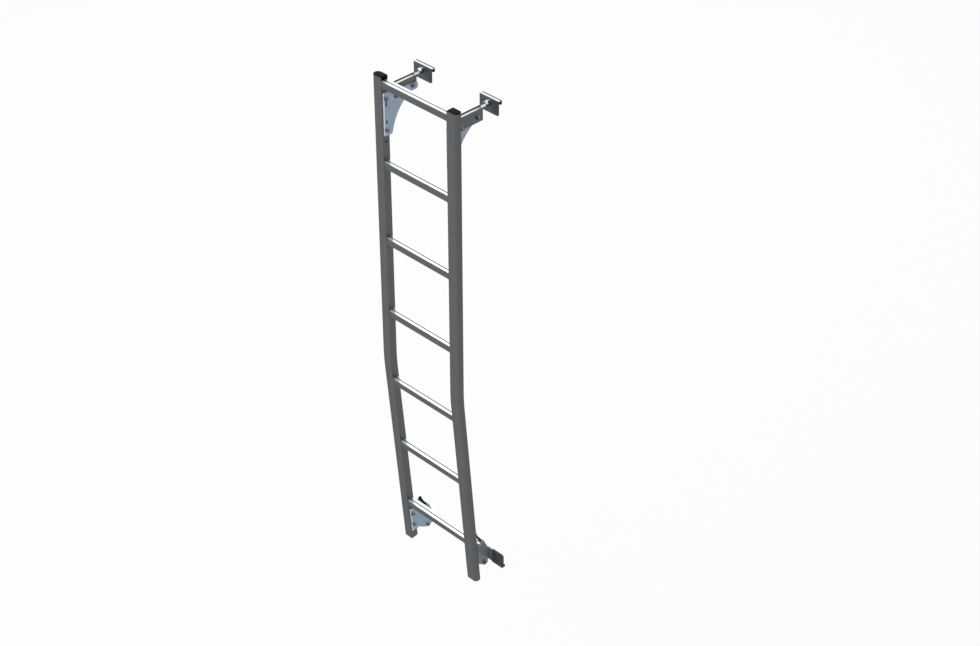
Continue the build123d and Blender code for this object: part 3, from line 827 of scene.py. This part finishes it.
def screw_shape(name, direction, detail):
    """Socket cap screw along a direction: a threaded shank, and a knurled head with a hex socket.

    The knurled radius is r = R - k (1 + cos n t)."""
    points = node_points(name)
    up = np.array(direction, float) / np.linalg.norm(direction)
    height = points @ up - (points @ up).min()
    tip = points[height < SAME].mean(axis=0)
    ring = np.linalg.norm(points - tip - np.outer(height, up), axis=1)
    shank = ring[height < SAME].max()
    widest = ring.max()
    head_start = height[ring > widest - SAME].min()
    in_head = height > head_start + SAME
    tall = height.max() - head_start
    sunk = height.max() - levels_of(height[in_head])[0]
    columns = detail.knurls * KNURL_POINTS
    angle = np.linspace(0, TURN, columns, endpoint=False)
    knurl = widest - KNURL_DEPTH * (1 + np.cos(detail.knurls * angle))
    socket = hexagon(ring[in_head].min() * FLATS_OF_CORNER, columns)
    even = np.ones(columns)
    eased = (widest - SCREW_EASE) * even
    rings = ((0.0, 0 * even), (0.0, eased), (SCREW_EASE, knurl), (tall - 2 * SCREW_EASE, knurl),
             (tall, eased), (tall, socket * SOCKET_CHAMFER), (tall - SCREW_EASE / 2, socket),
             (tall - sunk, socket), (tall - sunk - SCREW_EASE, 0 * even))
    head = ringed(np.stack([radius for level, radius in rings]), [level for level, radius in rings])
    shaft = threaded_shank(shank, head_start + SCREW_EASE, SCREW_EASE, detail.bolt_pitch, SCREW_POINTS)
    return joined([placed(shaft, tip + up * (head_start + SCREW_EASE), -up),
                   placed(head, tip + up * head_start, up)])


def top_cap_shape(name, side, detail):
    """Top cap: a D-shaped flange with rounded edges over a plug, and a tongue in the stile's notch."""
    points = node_points(name)
    low, high = points.min(axis=0), points.max(axis=0)
    floor, tongue_low, seam, top = levels_of(points[:, 2])
    width, depth = high[0] - low[0], high[1] - low[1]
    out = -INWARD[side]
    corner = np.array([low[0] if out > 0 else high[0], (low[1] + high[1]) / 2, 0.0])
    turned = np.array([out, 1.0, 1.0])
    ease = detail.cap_edge
    quarter = np.linspace(0, TURN / 4, EDGE_POINTS)
    edge_in, edge_up = ease * (1 - np.cos(quarter)), ease * np.sin(quarter)
    plug_in = [depth / 2, PLUG_INSET, PLUG_INSET, 0.0]
    insets = np.concatenate((plug_in, edge_in, [ease + CROWN_RUN, depth / 2]))
    heights = np.concatenate(([floor, floor, seam, seam], top - ease + edge_up - CROWN, [top, top]))
    cap, faces = layered(lambda inset: d_outline(width, depth, inset), insets, heights)
    notch = np.ptp(points[np.abs(points[:, 2] - tongue_low) < SAME], axis=0)
    tall = seam - tongue_low
    insets = np.array([tall / 2, TONGUE_EASE, 0.0, 0.0, tall / 2])
    heights = np.array([0.0, 0.0, TONGUE_EASE, notch[0], notch[0]])
    tongue, tongue_faces = layered(lambda inset: tongue_outline(notch[1], tall, inset), insets, heights)
    tongue = tongue[:, (2, 0, 1)] * turned + (corner[0], corner[1], (seam + tongue_low) / 2)
    return joined([(cap * turned + corner, faces), (tongue, tongue_faces)])


class LADDER_OT_dress_frame(bpy.types.Operator):
    """Finish the stiles and rungs and weld them together"""

    bl_idname = "ladder.dress_frame"
    bl_label = "Dress Frame"

    def execute(self, context):
        finish, detail = context.scene.ladder_finish, context.scene.ladder_detail
        dress(on_both("stile"), drawn_metal("stile_aluminium", finish, "Z"))
        dress(RUNGS, drawn_metal("rung_aluminium", finish, "X", treads=True))
        weld = bar_metal("weld_bead", finish.aluminium, metallic=0.6, roughness=0.38)
        for name in RUNGS:
            shape = rung_welds(name, detail)
            new_piece(f"{name}_welds", shape, weld, LADDER, sharp=WELD_SHARP)
        return {"FINISHED"}


class LADDER_OT_dress_plates(bpy.types.Operator):
    """Finish the gussets, brackets, arms, hooks and claws and weld the arms"""

    bl_idname = "ladder.dress_plates"
    bl_label = "Dress Plates"

    def execute(self, context):
        finish, detail = context.scene.ladder_finish, context.scene.ladder_detail
        # Painted highlight on the rims and front strips of gussets and brackets
        on_rim = [(side_highlights, finish.zinc_edge_highlight)]
        # Painted highlight on the tops of hooks and arms
        on_top = [(highlight_on_tops, finish.top_highlight)]
        # Painted highlight on the claws' rims and tabs, and painted black shade on their flanges inside the
        # boots
        on_claw = [(leg_highlights, finish.claw_highlight), (shade_in_boot, finish.black)]
        zinc = plate_metal("zinc_plate", finish.zinc, finish, metallic=0.7, layers=on_rim)
        hook = plate_metal("hook_sheet", finish.hook, finish, metallic=0.5, layers=on_top)
        claw = plate_metal("claw_plate", finish.claw, finish, metallic=0.25, layers=on_claw)
        arm = plate_metal("arm_bar", finish.arm, finish, metallic=0.5, layers=on_top)
        dress(on_both("gusset", "bracket"), zinc)
        dress(on_both("hook"), hook)
        dress(on_both("claw"), claw)
        dress(on_both("top_arm"), arm)
        weld = bar_metal("arm_weld", finish.arm, metallic=0.6, roughness=0.38)
        for side in SIDES:
            shape = arm_welds(side, detail)
            new_piece(f"{side}_arm_welds", shape, weld, LADDER, sharp=WELD_SHARP)
        return {"FINISHED"}


class LADDER_OT_make_rods(bpy.types.Operator):
    """Make the threaded hook rods with their nuts and washers"""

    bl_idname = "ladder.make_rods"
    bl_label = "Make Rods"

    def execute(self, context):
        finish, detail = context.scene.ladder_finish, context.scene.ladder_detail
        # Painted highlight on the nuts' tops, and a painted dark reflection along the rods' tops
        bright = bar_metal("zinc_top_highlight", finish.nut, metallic=0.9, roughness=0.24, top=finish.bright)
        dark_reflecting = bar_metal("zinc_dark_reflection", finish.rod, metallic=0.95, roughness=0.24,
                              top=finish.rod_top_reflection, slope=TOP_OF_ROD)
        for rod, nut in zip(on_both("hook_rod"), on_both("hook_nut")):
            new_piece(f"{rod}_threaded", rod_shape(rod, detail), dark_reflecting, LADDER, rod)
            new_piece(f"{nut}_chamfered", hook_nut_shape(nut, rod), bright, LADDER, nut)
        return {"FINISHED"}


class LADDER_OT_make_bolts(bpy.types.Operator):
    """Make the hex bolts of the gussets and brackets"""

    bl_idname = "ladder.make_bolts"
    bl_label = "Make Bolts"

    def execute(self, context):
        finish, detail = context.scene.ladder_finish, context.scene.ladder_detail
        # Painted highlight on the bolts' tops
        steel = bar_metal("bolt_steel", finish.bolt, metallic=0.8, roughness=0.28, top=finish.bright)
        for side in SIDES:
            for node in (f"{side}_gusset_bolts", f"{side}_bracket_bolts"):
                shape = bolt_shapes(node, side, detail)
                new_piece(f"{node}_chamfered", shape, steel, LADDER, node)
        return {"FINISHED"}


class LADDER_OT_make_screws(bpy.types.Operator):
    """Make the black tension screws"""

    bl_idname = "ladder.make_screws"
    bl_label = "Make Tension Screws"

    def execute(self, context):
        finish, detail = context.scene.ladder_finish, context.scene.ladder_detail
        black = bar_metal("black_oxide", finish.black, metallic=0.6, roughness=0.40)
        direction = frame["joints"][0]["axis"]
        for node in on_both("tension_screw"):
            shape = screw_shape(node, direction, detail)
            new_piece(f"{node}_threaded", shape, black, LADDER, node)
        return {"FINISHED"}


class LADDER_OT_make_caps(bpy.types.Operator):
    """Make the rounded top caps and finish the foot caps, edgings and boots"""

    bl_idname = "ladder.make_caps"
    bl_label = "Make Caps And Rubber"

    def execute(self, context):
        finish, detail = context.scene.ladder_finish, context.scene.ladder_detail
        moulded = {"roughness": 0.43, "grain_scale": 900.0, "depth": 0.0003}
        matt = {"roughness": 0.69, "grain_scale": 500.0, "depth": 0.0005}
        plastic = black_finish("cap_plastic", finish.black, level=0.02, **moulded)
        edging = black_finish("edging_rubber", finish.black, level=0.02, **matt)
        boot = black_finish("boot_rubber", finish.rubber, level=0.10, **matt)
        dress(on_both("foot_cap"), plastic)
        dress(on_both("hook_edging"), edging)
        dress(on_both("claw_boot"), boot)
        for side in SIDES:
            node = f"{side}_top_cap"
            shape = top_cap_shape(node, side, detail)
            new_piece(f"{node}_rounded", shape, plastic, LADDER, node)
        return {"FINISHED"}


class LADDER_OT_set_stage(bpy.types.Operator):
    """Set the camera, the floor, the sky and the lamps"""

    bl_idname = "ladder.set_stage"
    bl_label = "Set Stage"

    SENSOR_MM = 36.0
    FARTHEST = 200.0
    FLOOR_REACH = 40.0
    PALE = (0.8, 0.8, 0.8)
    WHITE = (1.0, 1.0, 1.0)
    FLOOR_WHITENESS = 0.92
    LAMP_DISTANCE = 6.0
    TOP_LAMP = {"direction": (-1.0, 1.0, 1.05), "width": 5.5, "height": 5.5}
    KEY_LAMP = {"direction": (-0.55, -1.0, 0.55), "width": 5.0, "height": 3.0}

    def execute(self, context):
        stage = context.scene.ladder_stage
        self.set_camera(stage)
        self.set_floor(stage)
        self.set_sky(stage)
        self.add_lamp("top_softbox", power=stage.top_power, **self.TOP_LAMP)
        self.add_lamp("key_softbox", power=stage.key_power, **self.KEY_LAMP)
        context.scene.view_settings.view_transform = "Standard"
        return {"FINISHED"}

    def set_camera(self, stage):
        """Stand the camera in front of the ladder, to its right and above it."""
        lens = bpy.data.cameras.new("camera")
        lens.lens = stage.lens
        lens.sensor_width = self.SENSOR_MM
        lens.clip_end = self.FARTHEST
        camera = bpy.data.objects.new("camera", lens)
        camera.location = stage.eye
        camera.rotation_euler = Vector(stage.aim).to_track_quat("-Z", "Y").to_euler()
        bpy.context.scene.collection.objects.link(camera)
        bpy.context.scene.camera = camera

    def seen_directly(self, graph):
        """1 for camera, glossy and transmitted rays, 0 for the rest."""
        path = graph.add("ShaderNodeLightPath", output="Is Camera Ray")
        return path.most(path.out("Is Glossy Ray")).most(path.out("Is Transmission Ray"))

    def set_floor(self, stage):
        """A wide pale floor below the ladder, nearly white to the eye, that keeps a faint shadow."""
        reach = self.FLOOR_REACH
        corners = np.array([[-reach, -reach], [reach, -reach], [reach, reach], [-reach, reach]])
        level = np.full((4, 1), CAD_BOX[0].z - stage.floor_drop)
        mesh = bpy.data.meshes.new("floor")
        mesh.from_pydata(np.concatenate((corners, level), axis=1).tolist(), [], [(0, 1, 2, 3)])
        floor = bpy.data.objects.new("floor", mesh)
        bpy.context.scene.collection.objects.link(floor)
        material, graph = new_material("floor_pale")
        pale = graph.add("ShaderNodeBsdfDiffuse", None, {"Color": opaque(self.PALE)})
        white = graph.add("ShaderNodeEmission", None, {"Color": opaque(self.WHITE), "Strength": 1.0})
        share = self.FLOOR_WHITENESS * self.seen_directly(graph)
        mixed = graph.add("ShaderNodeMixShader", None, {0: share, 1: pale, 2: white})
        graph.add("ShaderNodeOutputMaterial", None, {"Surface": mixed})
        mesh.materials.append(material)

    def set_sky(self, stage):
        """Even pale light from all round, white where it is seen directly."""
        world = bpy.data.worlds.new("sky")
        world.use_nodes = True
        graph = Graph(world.node_tree)
        colour = graph.blend(self.seen_directly(graph), opaque(stage.sky), opaque(self.WHITE))
        light = graph.add("ShaderNodeBackground", None, {"Color": colour, "Strength": 1.0})
        graph.add("ShaderNodeOutputWorld", None, {"Surface": light})
        bpy.context.scene.world = world

    def add_lamp(self, name, direction, width, height, power):
        """A softbox at the lamps' distance from the ladder, in a direction, facing it."""
        lamp = bpy.data.lights.new(name, "AREA")
        lamp.shape = "RECTANGLE"
        lamp.size = width
        lamp.size_y = height
        lamp.energy = power
        holder = bpy.data.objects.new(name, lamp)
        heading = Vector(direction).normalized()
        holder.location = (CAD_BOX[0] + CAD_BOX[1]) / 2 + heading * self.LAMP_DISTANCE
        holder.rotation_euler = heading.to_track_quat("Z", "Y").to_euler()
        holder.visible_camera = False
        bpy.context.scene.collection.objects.link(holder)


class LADDER_PT_panel(bpy.types.Panel):
    """Sidebar panel with the ladder's settings and operators"""

    bl_idname = "LADDER_PT_panel"
    bl_label = "Van Rear Door Ladder"
    bl_space_type = "VIEW_3D"
    bl_region_type = "UI"
    bl_category = "Ladder"

    def draw(self, context):
        for group in GROUPS:
            box = self.layout.box()
            for name in GROUPS[group].__annotations__:
                box.prop(getattr(context.scene, group), name)
        for operator in OPERATORS:
            self.layout.operator(operator.bl_idname)


OPERATORS = (
    LADDER_OT_dress_frame, LADDER_OT_dress_plates, LADDER_OT_make_rods, LADDER_OT_make_bolts,
    LADDER_OT_make_screws, LADDER_OT_make_caps, LADDER_OT_set_stage,
)
GROUPS = {"ladder_finish": LadderFinish, "ladder_detail": LadderDetail, "ladder_stage": LadderStage}
CLASSES = (*GROUPS.values(), *OPERATORS, LADDER_PT_panel)


def register():
    """Register the classes and hang the settings on the scene."""
    for cls in CLASSES:
        bpy.utils.register_class(cls)
    for name, group in GROUPS.items():
        setattr(bpy.types.Scene, name, PointerProperty(type=group))


def unregister():
    """Take the settings and the classes away again."""
    for name in GROUPS:
        delattr(bpy.types.Scene, name)
    for cls in reversed(CLASSES):
        bpy.utils.unregister_class(cls)


def main():
    """Register the add-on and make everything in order."""
    register()
    bpy.ops.ladder.dress_frame()
    bpy.ops.ladder.dress_plates()
    bpy.ops.ladder.make_rods()
    bpy.ops.ladder.make_bolts()
    bpy.ops.ladder.make_screws()
    bpy.ops.ladder.make_caps()
    bpy.ops.ladder.set_stage()


if __name__ == "__main__":
    main()
